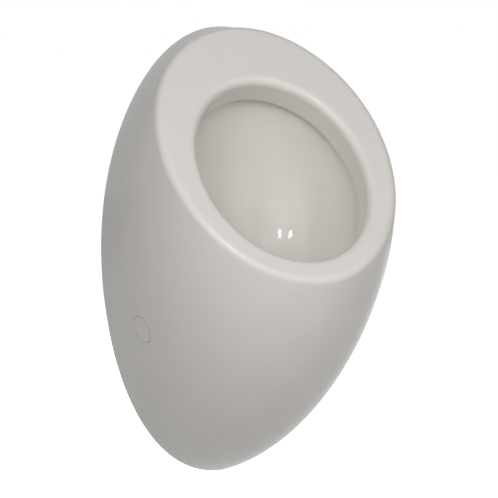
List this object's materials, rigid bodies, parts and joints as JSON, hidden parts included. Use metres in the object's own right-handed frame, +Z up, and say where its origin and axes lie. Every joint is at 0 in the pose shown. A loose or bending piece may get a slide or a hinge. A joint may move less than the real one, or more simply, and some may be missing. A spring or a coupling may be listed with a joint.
{
  "type": "wall hung urinal",
  "caption": "Egg-shaped ceramic bowl that hangs on a wall, with a sloping rim, an oval mouth, hidden water and waste fittings, a lift-out trap insert and push-in cover caps.",
  "frame": {"origin": "where the waste pipe's axis meets the wall plane", "axes": "+Y points into the wall, along the waste pipe; +Z is up; the front of the urinal faces -Y"},
  "size_m": [0.3324, 0.3873, 0.5931],
  "materials": {
    "glazed_china": "gloss glaze over fired china",
    "cap_plastic": "gloss moulded, coloured like the glaze",
    "strainer_steel": "satin stainless steel",
    "waste_chrome": "polished plating",
    "trap_plastic": "moulded white plastic",
    "outlet_plastic": "moulded grey plastic",
    "seal_rubber": "plain black rubber",
    "sleeve_rubber": "plain black rubber",
    "channel_rubber": "plain dark grey rubber",
    "pipe_chrome": "polished plating",
    "bracket_steel": "zinc plated pressed steel",
    "screw_steel": "zinc plated steel",
    "bush_plastic": "natural nylon"
  },
  "bodies": {
    "body": {"china_body": "glazed_china", "waste_flange": "waste_chrome", "waste_flange_ring": "seal_rubber", "trap_gasket": "seal_rubber", "trap_body": "trap_plastic", "outlet_ring": "seal_rubber", "outlet_nut": "trap_plastic", "outlet_pipe": "outlet_plastic", "inlet_sleeve": "sleeve_rubber", "flush_pipe": "pipe_chrome", "inlet_ring": "seal_rubber", "inlet_nut": "pipe_chrome", "inlet_nipple": "pipe_chrome", "hanger_bracket_right": "bracket_steel", "hanger_bracket_left": "bracket_steel", "hanger_channels": "channel_rubber", "hanger_screws": "screw_steel", "hanger_washers": "screw_steel", "side_bracket_right": "bracket_steel", "side_bracket_left": "bracket_steel", "bracket_screws": "screw_steel", "bracket_washers": "screw_steel", "clamp_bushes": "bush_plastic", "clamp_screws": "screw_steel", "clamp_nuts": "screw_steel"},
    "cap_right": {"cover_cap_right": "cap_plastic"},
    "cap_left": {"cover_cap_left": "cap_plastic"},
    "trap_insert": {"dip_tube": "trap_plastic", "dip_tube_ring": "seal_rubber"},
    "strainer": {"strainer": "strainer_steel"}
  },
  "joints": [
    {"name": "cap_right_pull", "type": "slide", "parent": "body", "child": "cap_right", "axis": [0.9541, -0.1639, -0.2507], "range_m": [0, 0.04]},
    {"name": "cap_left_pull", "type": "slide", "parent": "body", "child": "cap_left", "axis": [-0.9541, -0.1639, -0.2507], "range_m": [0, 0.04]},
    {"name": "insert_lift", "type": "slide", "parent": "body", "child": "trap_insert", "axis": [0, 0, 1], "range_m": [0, 0.125]},
    {"name": "strainer_lift", "type": "slide", "parent": "trap_insert", "child": "strainer", "axis": [0, 0, 1], "range_m": [0, 0.1]}
  ]
}
